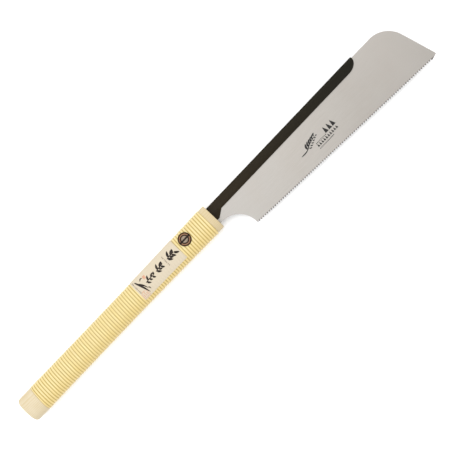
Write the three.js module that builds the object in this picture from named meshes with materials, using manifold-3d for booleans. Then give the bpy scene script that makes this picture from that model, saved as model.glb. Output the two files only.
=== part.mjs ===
// A Japanese pull saw: a thin toothed blade crimped into a half-length folded steel back, whose tang
// slides into a rattan-bound wooden handle and is clamped there by a screw that a coin turns.
//
// While it is built, the origin is the middle of the handle's front face, +X runs towards the toe,
// +Y towards the stiffened back and +Z towards the side with the screw head. All sizes in millimetres.
// At the end the whole saw is moved so that the origin is under the middle of its box, at its lowest point.

import * as THREE from 'three';
import { mergeVertices } from 'three/addons/utils/BufferGeometryUtils.js';
import Module from 'manifold-3d';

const wasm = await Module();
wasm.setup();

const radians = THREE.MathUtils.degToRad;

// ---------------------------------------------------------------- driving dimensions

const FIT = 0.05; // gap left between two pieces that are assembled against each other
const REACH = 40; // how far a cutting tool runs past the piece that it cuts

// Blade
const BLADE_THICKNESS = 0.6;
const BLADE_BACK_Y = 9.45; // back edge of the blade
const BLADE_TAIL_X = -30; // where the blade ends inside the handle
const HEEL_TOP_Y = -9.9; // lower edge of the blade where it enters the handle
const HEEL_CURVE = { x: 2.2, y: -34, radius: 24.1 };
const HEEL_CORNER = { x: 27, y: -36.4 };
const TOE_CURVE = { x: 236, y: -17.5, radius: 26.95 };
const TOE_LEAN = radians(15); // lean of the straight front edge
const TOE_TIP = { y: -48.2, chamfer: 1.0 };

// Teeth, cutting on the pull: the steep side of each tooth faces the handle
const TOOTH_COUNT = 87;
const TOOTH_PITCH = 2.715;
const TOOTH_DEPTH = 1.6;
const TOOTH_TIP_SHARE = 0.3; // place of the tip along the pitch, from the handle side
const TOOTH_LINE_START = { x: 28, y: -36.85 };
const TOOTH_LINE_FALL = radians(3.32);

// Folded back, which also forms the tang
const BACK_THICKNESS = 2.6;
const BACK_TOP_Y = 10.9;
const BACK_LOWER_Y = 0.1;
const BACK_NOSE = { cornerX: 209.8, centreX: 197.2, radiusX: 13, radiusY: 9.1 };
const FLARE = { startX: 11.5, endX: 3.2, lowerY: -5.3 };
const TANG_END_X = -52;
const RIVET = { radius: 1.5, y: 2, places: [-10, -22] };

// Handle
const HANDLE_LENGTH = 269.75;
const HALF_THICKNESS_SHARE = 0.77; // half thickness over half width
const ROUNDNESS = 2.5; // exponent of the oval section: 2 is an ellipse, more is squarer
const AXIS_Y_FRONT = 0.1;
const AXIS_Y_BUTT = 0.6;
const WAIST = { x: -140, halfWidth: 14.2, frontGain: 1.4, rearGain: 0.375 };
const COLLAR = { length: 7.4, halfWidth: 14.85, edgeRadius: 0.9 };
const BUTT = { length: 17.75, halfWidth: 14.25, edgeRadius: 3.4 };
const GLUE_LINE = 0.05; // between the two halves of the core
const SECTION_POINTS = 128;

// Rattan binding, one length of cane after another
const CANE_THICKNESS = 1.0;
const CANE_LENGTHS = ['front', 'middle', 'rear'];
const CANE_STATIONS = 4; // sections along each length

// Paper label
const LABEL = { frontX: -47.3, rearX: -106.5, lowerY: -9, lowerZ: -3, thickness: 0.25 };

// Clamp
const CLAMP = { x: -36.3, y: 5.06 };
const SHANK_RADIUS = 2.5;
const SHANK_HOLE_RADIUS = 2.8;
const TANG_SLOT_RADIUS = 2.9;
const CUP = { radius: 7.0, wall: 0.7, floorZ: 9.4, floorThickness: 1.0, rimZ: 12.0, chamfer: 0.2 };
const HEAD = {
  radius: 6.15, underZ: 9.95, edgeZ: 11.9, ringZ: 12.2, crownZ: 12.4,
  ringInner: 4.6, bossRadius: 3.6, grooveDepth: 0.8,
};
const COIN_SLOT = { width: 1.5, depth: 1.4 };
const WASHER = { radius: 5.8, hole: 2.7, lowZ: 9.45, highZ: 9.9 };
const SHANK_END_Z = -8.6;
const NUT = {
  headRadius: 6.15, underZ: -9.45, edgeZ: -11.5, crownZ: -11.9, neck: 6.8, neckTopZ: -5.4,
  barrelRadius: 3.4, barrelTopZ: -3.0, boreRadius: 2.75, boreEndZ: -10.2, cupHoleRadius: 5.0,
};
const SOCKET = { gap: 1.45, wall: 0.8, frontX: -0.5, rearX: -56, lowerY: -11.2, upperY: 11.4 };
const ROUND_SEGMENTS = 40;

// ---------------------------------------------------------------- solids

// A closed geometry as a solid that can be joined and cut.
function solid(geometry) {
  const bare = geometry.index ? geometry.toNonIndexed() : geometry.clone();
  bare.deleteAttribute('normal');
  bare.deleteAttribute('uv');
  const merged = mergeVertices(bare, 1e-4);
  const mesh = new wasm.Mesh({
    numProp: 3,
    vertProperties: merged.attributes.position.array,
    triVerts: new Uint32Array(merged.index.array),
  });
  return new wasm.Manifold(mesh);
}

// A solid as a flat-shaded geometry.
function geometryOf(made) {
  const mesh = made.getMesh();
  const geometry = new THREE.BufferGeometry();
  geometry.setAttribute('position', new THREE.BufferAttribute(mesh.vertProperties, 3));
  geometry.setIndex(new THREE.BufferAttribute(mesh.triVerts, 1));
  const flat = geometry.toNonIndexed();
  flat.computeVertexNormals();
  return flat;
}

function block(x0, x1, y0, y1, z0, z1) {
  const box = new THREE.BoxGeometry(x1 - x0, y1 - y0, z1 - z0);
  return solid(box.translate((x0 + x1) / 2, (y0 + y1) / 2, (z0 + z1) / 2));
}

// A round bar along Z.
function rod(x, y, radius, z0, z1, segments = ROUND_SEGMENTS) {
  const bar = new THREE.CylinderGeometry(radius, radius, z1 - z0, segments);
  return solid(bar.rotateX(Math.PI / 2).translate(x, y, (z0 + z1) / 2));
}

// A flat plate of the given outline, centred on the blade's middle plane.
function plate(outline, thickness, curveSegments = 16) {
  const options = { depth: thickness, bevelEnabled: false, curveSegments };
  return solid(new THREE.ExtrudeGeometry(outline, options).translate(0, 0, -thickness / 2));
}

// A piece turned about the clamp's axis. The profile is a list of [radius, z].
function turned(profile) {
  const points = profile.map(([radius, z]) => new THREE.Vector2(radius, z));
  const geometry = new THREE.LatheGeometry(points, ROUND_SEGMENTS).rotateX(Math.PI / 2);
  return solid(geometry.translate(CLAMP.x, CLAMP.y, 0));
}

// ---------------------------------------------------------------- handle surface

// Half the width across the crowns of the cane: a slight waist, flared towards both ends.
function crownHalfWidth(x) {
  const fromWaist = x - WAIST.x;
  const span = fromWaist > 0 ? -COLLAR.length - WAIST.x : HANDLE_LENGTH - BUTT.length + WAIST.x;
  const gain = fromWaist > 0 ? WAIST.frontGain : WAIST.rearGain;
  return WAIST.halfWidth + gain * (fromWaist / span) ** 2;
}

// The oval section at x as a ring of points, for a half width and a half thickness.
function ovalRing(x, halfWidth, halfThickness) {
  const centreY = THREE.MathUtils.lerp(AXIS_Y_FRONT, AXIS_Y_BUTT, -x / HANDLE_LENGTH);
  const ring = [];
  for (let i = 0; i < SECTION_POINTS; i++) {
    const angle = (2 * Math.PI * i) / SECTION_POINTS;
    const across = Math.abs(Math.cos(angle) / halfWidth) ** ROUNDNESS;
    const through = Math.abs(Math.sin(angle) / halfThickness) ** ROUNDNESS;
    const reach = (across + through) ** (-1 / ROUNDNESS);
    ring.push([x, centreY + reach * Math.cos(angle), reach * Math.sin(angle)]);
  }
  return ring;
}

// A closed solid through rings that run from the butt towards the toe.
function loft(rings) {
  const count = rings[0].length;
  const positions = rings.flat(2);
  const index = [];
  for (let r = 0; r + 1 < rings.length; r++) {
    for (let i = 0; i < count; i++) {
      const a = r * count + i;
      const b = r * count + ((i + 1) % count);
      index.push(a, b, b + count, a, b + count, a + count);
    }
  }
  const last = (rings.length - 1) * count;
  for (let i = 1; i + 1 < count; i++) {
    index.push(0, i + 1, i, last, last + i, last + i + 1);
  }
  const geometry = new THREE.BufferGeometry();
  geometry.setAttribute('position', new THREE.Float32BufferAttribute(positions, 3));
  geometry.setIndex(index);
  return solid(geometry);
}

// A solid between two places along the handle whose surface lies this far outside the crowns.
function handleSlice(x0, x1, offset, stations) {
  const rings = [];
  for (let i = 0; i <= stations; i++) {
    const x = THREE.MathUtils.lerp(x0, x1, i / stations);
    const halfWidth = crownHalfWidth(x);
    rings.push(ovalRing(x, halfWidth + offset, halfWidth * HALF_THICKNESS_SHARE + offset));
  }
  return loft(rings);
}

// ---------------------------------------------------------------- pieces

const teethDirection = new THREE.Vector2(Math.cos(TOOTH_LINE_FALL), -Math.sin(TOOTH_LINE_FALL));

// A point on the tooth line, a distance along it from the heel and a height above the tips.
function onToothLine(along, height) {
  return new THREE.Vector2(
    TOOTH_LINE_START.x + along * teethDirection.x - height * teethDirection.y,
    TOOTH_LINE_START.y + along * teethDirection.y + height * teethDirection.x,
  );
}

function bladeOutline() {
  const outline = new THREE.Shape();
  const lineTo = (point) => outline.lineTo(point.x, point.y);
  outline.moveTo(BLADE_TAIL_X, HEEL_TOP_Y);
  outline.absarc(HEEL_CURVE.x, HEEL_CURVE.y, HEEL_CURVE.radius, Math.PI / 2, radians(-2), true);
  lineTo(HEEL_CORNER);
  for (let i = 0; i < TOOTH_COUNT; i++) {
    lineTo(onToothLine(i * TOOTH_PITCH, TOOTH_DEPTH));
    lineTo(onToothLine((i + TOOTH_TIP_SHARE) * TOOTH_PITCH, 0));
  }
  lineTo(onToothLine(TOOTH_COUNT * TOOTH_PITCH, TOOTH_DEPTH));
  lineTo(onToothLine((TOOTH_COUNT + TOOTH_TIP_SHARE) * TOOTH_PITCH, 0));
  const edgeStart = new THREE.Vector2(
    TOE_CURVE.x + TOE_CURVE.radius * Math.cos(TOE_LEAN),
    TOE_CURVE.y + TOE_CURVE.radius * Math.sin(TOE_LEAN),
  );
  const tipX = edgeStart.x + Math.tan(TOE_LEAN) * (edgeStart.y - TOE_TIP.y);
  outline.lineTo(tipX, TOE_TIP.y - TOE_TIP.chamfer);
  outline.lineTo(tipX, TOE_TIP.y);
  outline.absarc(TOE_CURVE.x, TOE_CURVE.y, TOE_CURVE.radius, TOE_LEAN, Math.PI / 2, false);
  outline.lineTo(BLADE_TAIL_X, BLADE_BACK_Y);
  return outline;
}

function rivetHoles() {
  const holes = RIVET.places.map((x) => rod(x, RIVET.y, RIVET.radius + FIT, -REACH, REACH));
  return wasm.Manifold.union(holes);
}

function blade() {
  return plate(bladeOutline(), BLADE_THICKNESS).subtract(rivetHoles());
}

// One folded sheet: fold along the top, a cheek on each side of the blade, and a forked tang.
function foldedBack() {
  const outline = new THREE.Shape();
  outline.moveTo(TANG_END_X, FLARE.lowerY);
  outline.lineTo(FLARE.endX, FLARE.lowerY);
  outline.lineTo(FLARE.startX, BACK_LOWER_Y);
  const noseY = BACK_LOWER_Y + BACK_NOSE.radiusY;
  outline.absellipse(
    BACK_NOSE.centreX, noseY, BACK_NOSE.radiusX, BACK_NOSE.radiusY, -Math.PI / 2, 0, false, 0,
  );
  outline.lineTo(BACK_NOSE.cornerX, BACK_TOP_Y);
  outline.lineTo(TANG_END_X, BACK_TOP_Y);
  outline.lineTo(TANG_END_X, CLAMP.y + TANG_SLOT_RADIUS);
  outline.absarc(CLAMP.x, CLAMP.y, TANG_SLOT_RADIUS, Math.PI / 2, -Math.PI / 2, true);
  outline.lineTo(TANG_END_X, CLAMP.y - TANG_SLOT_RADIUS);
  const grip = BLADE_THICKNESS / 2 + FIT;
  const bladeRoom = block(
    TANG_END_X - REACH, BACK_NOSE.cornerX + REACH, FLARE.lowerY - REACH, BLADE_BACK_Y + FIT, -grip, grip,
  );
  return plate(outline, BACK_THICKNESS).subtract(bladeRoom).subtract(rivetHoles());
}

function rivet(x) {
  return rod(x, RIVET.y, RIVET.radius, -BACK_THICKNESS / 2, BACK_THICKNESS / 2);
}

// A quarter-round edge: [x, half width] pairs that lead from the side surface onto the end face.
function roundedEdge(endX, halfWidth, radius, towardsEnd) {
  const steps = 4;
  const edge = [];
  for (let i = 0; i <= steps; i++) {
    const angle = (Math.PI / 2) * (i / steps);
    const x = endX - towardsEnd * radius * (1 - Math.sin(angle));
    edge.push([x, halfWidth - radius * (1 - Math.cos(angle))]);
  }
  return edge;
}

// The wooden core as one body: butt, seat for the cane, and collar.
function wholeCore() {
  const seatEndX = -HANDLE_LENGTH + BUTT.length;
  const rings = [];
  const add = ([x, halfWidth]) => {
    rings.push(ovalRing(x, halfWidth, halfWidth * HALF_THICKNESS_SHARE));
  };
  roundedEdge(-HANDLE_LENGTH, BUTT.halfWidth, BUTT.edgeRadius, -1).reverse().forEach(add);
  add([seatEndX, BUTT.halfWidth]);
  const seatStations = 12;
  for (let i = 0; i <= seatStations; i++) {
    const x = THREE.MathUtils.lerp(seatEndX, -COLLAR.length, i / seatStations);
    const crown = crownHalfWidth(x);
    const halfThickness = crown * HALF_THICKNESS_SHARE - CANE_THICKNESS;
    rings.push(ovalRing(x, crown - CANE_THICKNESS, halfThickness));
  }
  add([-COLLAR.length, COLLAR.halfWidth]);
  roundedEdge(0, COLLAR.halfWidth, COLLAR.edgeRadius, 1).forEach(add);
  return loft(rings);
}

// Half of the core. Side is 1 for the half under the screw head and -1 for the nut's half.
function coreHalf(side) {
  const seam = (side * GLUE_LINE) / 2;
  const far = side * REACH;
  const keep = block(
    -HANDLE_LENGTH - REACH, REACH, -REACH, REACH, Math.min(seam, far), Math.max(seam, far),
  );
  const pocketDepth = SOCKET.gap + SOCKET.wall + FIT;
  const pocket = block(
    SOCKET.rearX - FIT, REACH, SOCKET.lowerY - FIT, SOCKET.upperY + FIT, -pocketDepth, pocketDepth,
  );
  const seatZ = CUP.floorZ - CUP.floorThickness - FIT;
  const cupSeat = side > 0
    ? rod(CLAMP.x, CLAMP.y, CUP.radius + FIT, seatZ, REACH)
    : rod(CLAMP.x, CLAMP.y, CUP.radius + FIT, -REACH, -seatZ);
  const neckRoom = NUT.neck / 2 + FIT;
  const passage = side > 0
    ? rod(CLAMP.x, CLAMP.y, SHANK_HOLE_RADIUS, 0, REACH)
    : block(
      CLAMP.x - neckRoom, CLAMP.x + neckRoom, CLAMP.y - neckRoom, CLAMP.y + neckRoom, -REACH, 0,
    );
  return wholeCore().intersect(keep).subtract(pocket).subtract(cupSeat).subtract(passage);
}

// A folded steel channel that lines the slot for the tang, with its fold along the lower edge.
function tangSocket() {
  const outer = SOCKET.gap + SOCKET.wall;
  const body = block(SOCKET.rearX, SOCKET.frontX, SOCKET.lowerY, SOCKET.upperY, -outer, outer);
  const room = block(
    SOCKET.rearX - REACH, REACH, SOCKET.lowerY + SOCKET.wall, REACH, -SOCKET.gap, SOCKET.gap,
  );
  return body.subtract(room).subtract(rod(CLAMP.x, CLAMP.y, SHANK_HOLE_RADIUS, -REACH, REACH));
}

function cane(place) {
  const first = -COLLAR.length - FIT;
  const last = -HANDLE_LENGTH + BUTT.length + FIT;
  const frontX = THREE.MathUtils.lerp(first, last, place / CANE_LENGTHS.length);
  const rearX = THREE.MathUtils.lerp(first, last, (place + 1) / CANE_LENGTHS.length) + FIT;
  const outside = handleSlice(rearX, frontX, 0, CANE_STATIONS);
  const inside = handleSlice(rearX - 1, frontX + 1, FIT - CANE_THICKNESS, CANE_STATIONS);
  const clampHole = rod(CLAMP.x, CLAMP.y, CUP.radius + FIT, -REACH, REACH);
  return outside.subtract(inside).subtract(clampHole);
}

function label() {
  const outside = handleSlice(LABEL.rearX, LABEL.frontX, FIT + LABEL.thickness, CANE_STATIONS);
  const inside = handleSlice(LABEL.rearX - 1, LABEL.frontX + 1, FIT, CANE_STATIONS);
  const covered = block(
    LABEL.rearX - 1, LABEL.frontX + 1, LABEL.lowerY, REACH, LABEL.lowerZ, REACH,
  );
  return outside.subtract(inside).intersect(covered);
}

// The pressed cup that a head sits in. Side is 1 for the screw's cup and -1 for the nut's.
function cup(side, holeRadius) {
  const innerRadius = CUP.radius - CUP.wall;
  const profile = [
    [holeRadius, CUP.floorZ - CUP.floorThickness],
    [CUP.radius, CUP.floorZ - CUP.floorThickness],
    [CUP.radius, CUP.rimZ - CUP.chamfer],
    [CUP.radius - CUP.chamfer, CUP.rimZ],
    [innerRadius + CUP.chamfer, CUP.rimZ],
    [innerRadius, CUP.rimZ - CUP.chamfer],
    [innerRadius, CUP.floorZ],
    [holeRadius, CUP.floorZ],
  ];
  profile.push(profile[0]);
  const sided = profile.map(([radius, z]) => [radius, side * z]);
  return turned(side > 0 ? sided : sided.reverse());
}

function clampScrew() {
  const tip = 0.5;
  const grooveZ = HEAD.ringZ - HEAD.grooveDepth;
  const body = turned([
    [0, SHANK_END_Z],
    [SHANK_RADIUS - tip, SHANK_END_Z],
    [SHANK_RADIUS, SHANK_END_Z + tip],
    [SHANK_RADIUS, HEAD.underZ],
    [HEAD.radius, HEAD.underZ],
    [HEAD.radius, HEAD.edgeZ],
    [HEAD.radius - 0.5, HEAD.ringZ],
    [HEAD.ringInner + 0.15, HEAD.ringZ],
    [HEAD.ringInner, grooveZ],
    [HEAD.bossRadius, grooveZ],
    [HEAD.bossRadius - 0.2, HEAD.ringZ],
    [HEAD.bossRadius / 2, HEAD.crownZ - 0.05],
    [0, HEAD.crownZ],
  ]);
  const coinSlot = block(
    CLAMP.x - REACH, CLAMP.x + REACH, CLAMP.y - COIN_SLOT.width / 2, CLAMP.y + COIN_SLOT.width / 2,
    HEAD.ringZ - COIN_SLOT.depth, REACH,
  );
  return body.subtract(coinSlot);
}

function headWasher() {
  const profile = [
    [WASHER.hole, WASHER.lowZ],
    [WASHER.radius, WASHER.lowZ],
    [WASHER.radius, WASHER.highZ],
    [WASHER.hole, WASHER.highZ],
  ];
  profile.push(profile[0]);
  return turned(profile);
}

// A sleeve nut: domed head, square neck that keeps it from turning in the wood, threaded barrel.
function clampNut() {
  const head = turned([
    [0, NUT.crownZ],
    [NUT.headRadius / 2, NUT.crownZ + 0.08],
    [NUT.headRadius - 0.5, NUT.edgeZ - 0.2],
    [NUT.headRadius, NUT.edgeZ + 0.2],
    [NUT.headRadius, NUT.underZ],
    [0, NUT.underZ],
  ]);
  const half = NUT.neck / 2;
  const neck = block(
    CLAMP.x - half, CLAMP.x + half, CLAMP.y - half, CLAMP.y + half, NUT.underZ - 0.5, NUT.neckTopZ,
  );
  const barrel = rod(CLAMP.x, CLAMP.y, NUT.barrelRadius, NUT.neckTopZ - 0.5, NUT.barrelTopZ);
  const bore = rod(CLAMP.x, CLAMP.y, NUT.boreRadius, NUT.boreEndZ, REACH);
  return head.add(neck).add(barrel).subtract(bore);
}

// ---------------------------------------------------------------- assembly

const FINISHES = {
  steel: { color: 0xc8c3bd, roughness: 0.32, metalness: 0.9 },
  blackedSteel: { color: 0x2f2a25, roughness: 0.45, metalness: 0.6 },
  plainSteel: { color: 0x9a9a98, roughness: 0.4, metalness: 0.9 },
  bronze: { color: 0x6b4a2c, roughness: 0.4, metalness: 0.8 },
  wood: { color: 0xebd8b1, roughness: 0.65, metalness: 0 },
  cane: { color: 0xead49a, roughness: 0.45, metalness: 0 },
  paper: { color: 0xede0c8, roughness: 0.85, metalness: 0 },
};

const saw = new THREE.Group();

function place(name, made, finish) {
  const material = new THREE.MeshStandardMaterial({ ...FINISHES[finish], name });
  const mesh = new THREE.Mesh(geometryOf(made), material);
  mesh.name = name;
  saw.add(mesh);
}

place('blade', blade(), 'steel');
place('back_and_tang', foldedBack(), 'blackedSteel');
RIVET.places.forEach((x, i) => place(`tang_rivet_${i + 1}`, rivet(x), 'plainSteel'));
place('handle_core_screw_side', coreHalf(1), 'wood');
place('handle_core_nut_side', coreHalf(-1), 'wood');
place('tang_socket', tangSocket(), 'plainSteel');
CANE_LENGTHS.forEach((name, i) => place(`cane_wrap_${name}`, cane(i), 'cane'));
place('paper_label', label(), 'paper');
place('screw_cup', cup(1, SHANK_HOLE_RADIUS), 'bronze');
place('clamp_screw', clampScrew(), 'bronze');
place('screw_washer', headWasher(), 'plainSteel');
place('clamp_nut', clampNut(), 'bronze');
place('nut_cup', cup(-1, NUT.cupHoleRadius), 'bronze');

// Origin under the middle of the box, at its lowest point.
const box = new THREE.Box3().setFromObject(saw, true);
saw.position.set(-(box.min.x + box.max.x) / 2, -(box.min.y + box.max.y) / 2, -box.min.z);

const group = new THREE.Group();
group.add(saw);

export default group;
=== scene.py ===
import math

import bmesh
import bpy
import numpy as np
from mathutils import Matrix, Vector


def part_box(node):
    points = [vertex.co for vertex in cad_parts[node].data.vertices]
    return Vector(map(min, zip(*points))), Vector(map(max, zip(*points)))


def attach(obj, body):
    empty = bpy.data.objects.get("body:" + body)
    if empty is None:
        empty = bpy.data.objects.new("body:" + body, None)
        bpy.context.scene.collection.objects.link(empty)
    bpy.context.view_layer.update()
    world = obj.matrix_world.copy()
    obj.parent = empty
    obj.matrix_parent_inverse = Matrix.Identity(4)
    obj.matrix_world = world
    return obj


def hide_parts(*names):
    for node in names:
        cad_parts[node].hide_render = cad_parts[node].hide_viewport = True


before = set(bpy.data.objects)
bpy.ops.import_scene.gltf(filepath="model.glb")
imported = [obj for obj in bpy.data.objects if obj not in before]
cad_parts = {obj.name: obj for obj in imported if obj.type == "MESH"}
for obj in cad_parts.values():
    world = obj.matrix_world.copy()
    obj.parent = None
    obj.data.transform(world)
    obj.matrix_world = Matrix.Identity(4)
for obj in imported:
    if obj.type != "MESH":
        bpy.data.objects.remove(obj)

# A pull saw lying flat, seen from straight above. Sizes are in millimetres in the saw's own frame:
# X runs from the front of the handle towards the toe of the blade, Y towards the stiffened back,
# and Z towards the side that carries the screw head. at() turns such a point into the frame's metres.

MM = 0.001
TURN = 2 * math.pi

# ------------------------------------------------------------------ driving dimensions

BLADE_HALF = 0.3  # half of the blade's thickness
BLADE_BACK_Y = 9.45
BLADE_TAIL_X = -30.0
HEEL_TOP_Y = -9.9
HEEL_CURVE = (2.2, -34.0, 24.1)  # x, y and radius
HEEL_CORNER = (27.0, -36.4)
TOE_CURVE = (236.0, -17.5, 26.95)
TOE_LEAN = math.radians(15)
TOE_TIP_Y = -48.2
TOE_TIP_CHAMFER = 1.0

TOOTH_COUNT = 87
TOOTH_PITCH = 2.715
TOOTH_DEPTH = 1.6
TOOTH_TIP_SHARE = 0.3
TOOTH_LINE_START = (28.0, -36.85)
TOOTH_LINE_FALL = math.radians(3.32)
TOOTH_SET = 0.17  # how far a tip is bent out of the blade's plane
TOOTH_BEVEL = 0.42  # width of the filed bevel along the tooth line

BACK_HALF = 1.3
BACK_TOP_Y = 10.9
BACK_LOWER_Y = 0.1
BACK_NOSE = {"corner_x": 209.8, "centre_x": 197.2, "radius_x": 13.0, "radius_y": 9.1}
FLARE = {"start_x": 11.5, "end_x": 3.2, "lower_y": -5.3}
TANG_END_X = -52.0
TANG_SLOT_RADIUS = 2.9
CHANNEL = {
    "end_x": -56.0, "front_x": -0.5, "lower_y": -11.2, "upper_y": 11.4, "half_gap": 1.45, "wall": 0.8,
}
RIVET = {"radius": 1.5, "y": 2.0, "places": (-10.0, -22.0)}

HANDLE_LENGTH = 269.75
HALF_THICKNESS_SHARE = 0.77
ROUNDNESS = 2.5
AXIS_Y_FRONT = 0.1
AXIS_Y_BUTT = 0.6
WAIST_X = -140.0
WAIST_HALF_WIDTH = 14.2
WAIST_FRONT_GAIN = 1.4
WAIST_REAR_GAIN = 0.375
COLLAR = {"length": 7.4, "half_width": 14.85, "edge": 0.9}
BUTT = {"length": 17.75, "half_width": 14.25, "edge": 3.4}

SEAM_HALF = 0.02  # half of the gap between the halves of the core
SEAM_DEPTH_SHARE = 0.014
SEAM_SPREAD = 0.03
FIT = 0.05  # room between parts that go into each other

CANE_THICKNESS = 1.0
CANE_TURNS = 81
CANE_FIRST_PITCH = 3.095
CANE_GAP = 0.12  # between one turn and the next
CANE_EDGE_DROP = 0.5  # how far a turn's edges lie below its crown
CANE_LENGTHS = ("front", "middle", "rear")
CANE_REAR_X = -252.0
CANE_REAR_SLANT = 0.9
STRIP_WIDTH = 3.0
STRIP_GIRTH = 80.0  # length of one turn

LABEL = {"rear_x": -106.5, "front_x": -47.3, "lower_y": -9.0, "lower_z": -3.0, "thickness": 0.12}
LABEL_HALF_WIDTH = 14.7  # of the handle, under the label's front edge

PRINT_STEP = 0.3
PRINT_THICKNESS = 0.012
PRINT_RISE = 0.0007  # each mark lies this much above the one before

CLAMP = (-36.3, 5.06)
CUP = {"radius": 7.0, "wall": 0.7, "floor_z": 9.4, "floor": 1.0, "rim_z": 12.0}
SHANK_HOLE = 2.8
HEAD_RADIUS = 6.15  # of the screw and of the nut
HEAD_LOW_Z = 9.95
COIN_SLOT_HALF = 0.95
COIN_SLOT_FLOOR_Z = 10.8
SCREW_THREAD = 2.5
NUT_THREAD = 2.62
NUT_SQUARE_HALF = 3.4
WASHER = {"hole": 2.7, "radius": 5.8, "low_z": 9.45, "high_z": 9.9}
THREAD_PITCH = 0.8
THREAD_DEPTH = 0.42
NUT_CUP_HOLE = 5.0

CAMERA_PLACE = (1.6, -14.2, 1100.0)
CAMERA_TURN = math.radians(-46.45)
VIEW_WIDTH = 451.1  # what the camera sees across, in the blade's plane
SENSOR_WIDTH = 36
WORLD_STRENGTH = 1.14
KEY = {"place": (-300, 380, 1300), "size": (2.2, 1.6), "power": 18}

# ------------------------------------------------------------------ places

blade_low, blade_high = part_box("blade")
ORIGIN = np.array((
    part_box("handle_core_screw_side")[1].x,
    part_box("back_and_tang")[1].y - BACK_TOP_Y * MM,
    (blade_low.z + blade_high.z) / 2,
))
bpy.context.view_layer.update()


def at(point):
    """A point in saw millimetres, or an array of them, in the frame's metres."""
    return np.asarray(point, float) * MM + ORIGIN


# ------------------------------------------------------------------ meshes


def grid_faces(rows, columns, first=0, around=False):
    """Quads over rows x columns of points; around joins the last column to the first."""
    faces = []
    for r in range(rows - 1):
        for c in range(columns if around else columns - 1):
            near, far = r * columns, (r + 1) * columns
            right = (c + 1) % columns
            faces.append((first + near + c, first + near + right, first + far + right, first + far + c))
    return faces


def make_piece(name, points, faces):
    mesh = bpy.data.meshes.new(name)
    mesh.from_pydata(at(points).tolist(), [], faces)
    mesh.update()
    piece = bpy.data.objects.new(name, mesh)
    bpy.context.scene.collection.objects.link(piece)
    bm = bmesh.new()
    bm.from_mesh(mesh)
    bmesh.ops.recalc_face_normals(bm, faces=bm.faces)
    bm.to_mesh(mesh)
    bm.free()
    return piece


def freeze(piece):
    """The piece's modifiers become part of its mesh."""
    shape = piece.evaluated_get(bpy.context.evaluated_depsgraph_get())
    old = piece.data
    piece.data = bpy.data.meshes.new_from_object(shape)
    piece.modifiers.clear()
    bpy.data.meshes.remove(old)


def cut(piece, tool, operation="DIFFERENCE"):
    """Cuts the tool out of the piece, or joins them with UNION. The tool is used up."""
    modifier = piece.modifiers.new("cut", "BOOLEAN")
    modifier.operation = operation
    modifier.object = tool
    modifier.solver = "MANIFOLD"
    freeze(piece)
    bpy.data.objects.remove(tool)


def turned(name, profile, centre=CLAMP, segments=96):
    """A round body about the clamp's axis. The profile is closed, or starts and ends on the axis."""
    points, faces, rings = [], [], []
    for radius, z in profile:
        if radius == 0:
            rings.append([len(points)] * segments)
            points.append((centre[0], centre[1], z))
            continue
        rings.append(list(range(len(points), len(points) + segments)))
        for s in range(segments):
            angle = TURN * s / segments
            points.append((centre[0] + radius * math.cos(angle), centre[1] + radius * math.sin(angle), z))
    closed = profile[0][0] != 0
    for a, b in zip(rings, rings[1:] + rings[:1] if closed else rings[1:]):
        for s in range(segments):
            n = (s + 1) % segments
            corners = dict.fromkeys((a[s], a[n], b[n], b[s]))
            faces.append(tuple(corners))
    return make_piece(name, points, faces)


def rounded(profile, radius, steps=4):
    """The profile with each of its corners rounded, apart from those on the axis."""
    made = []
    count = len(profile)
    on_axis = profile[0][0] == 0
    for i, point in enumerate(profile):
        here = np.array(point, float)
        if on_axis and i in (0, count - 1):
            made.append(tuple(here))
            continue
        before = np.array(profile[i - 1], float) - here
        after = np.array(profile[(i + 1) % count], float) - here
        reach = min(radius, np.linalg.norm(before) * 0.45, np.linalg.norm(after) * 0.45)
        start = here + before / np.linalg.norm(before) * reach
        end = here + after / np.linalg.norm(after) * reach
        for s in range(steps + 1):
            t = s / steps
            made.append(tuple((1 - t) ** 2 * start + 2 * t * (1 - t) * here + t * t * end))
    return made


def block(x0, x1, y0, y1, z0, z1):
    points = [(x, y, z) for z in (z0, z1) for y in (y0, y1) for x in (x0, x1)]
    faces = [(0, 2, 3, 1), (4, 5, 7, 6), (0, 1, 5, 4), (2, 6, 7, 3), (0, 4, 6, 2), (1, 3, 7, 5)]
    return make_piece("tool", points, faces)


def rod(centre, radius, z0, z1):
    return turned("tool", [(0, z0), (radius, z0), (radius, z1), (0, z1)], centre)


def threaded_rod(radius, depth, z0, z1, centre=CLAMP):
    """A right-hand threaded rod along the clamp's axis. The thread fades out at both ends."""
    around, per_pitch = 64, 10
    rows = int((z1 - z0) / THREAD_PITCH * per_pitch)
    z = np.linspace(z0, z1, rows + 1)[:, None]
    angle = np.linspace(0, TURN, around, endpoint=False)[None, :]
    phase = (z / THREAD_PITCH - angle / TURN) % 1
    fade = np.clip(np.minimum(z - z0, z1 - z) / THREAD_PITCH, 0, 1)
    size = radius - depth * (1 - fade * (1 - np.abs(2 * phase - 1)))
    x = centre[0] + size * np.cos(angle)
    y = centre[1] + size * np.sin(angle)
    points = np.stack((x, y, np.broadcast_to(z, x.shape)), axis=-1).reshape(-1, 3)
    faces = grid_faces(rows + 1, around, around=True)
    faces += [tuple(range(around)), tuple(range(rows * around, (rows + 1) * around))]
    return make_piece("tool", points, faces)


def plate(name, outline, half):
    """A flat plate with this outline, centred on the blade's plane."""
    count = len(outline)
    points = [(x, y, z) for z in (-half, half) for x, y in outline]
    faces = [tuple(range(count))[::-1], tuple(range(count, 2 * count))]
    faces += [(i, (i + 1) % count, count + (i + 1) % count, count + i) for i in range(count)]
    return make_piece(name, points, faces)


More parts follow.
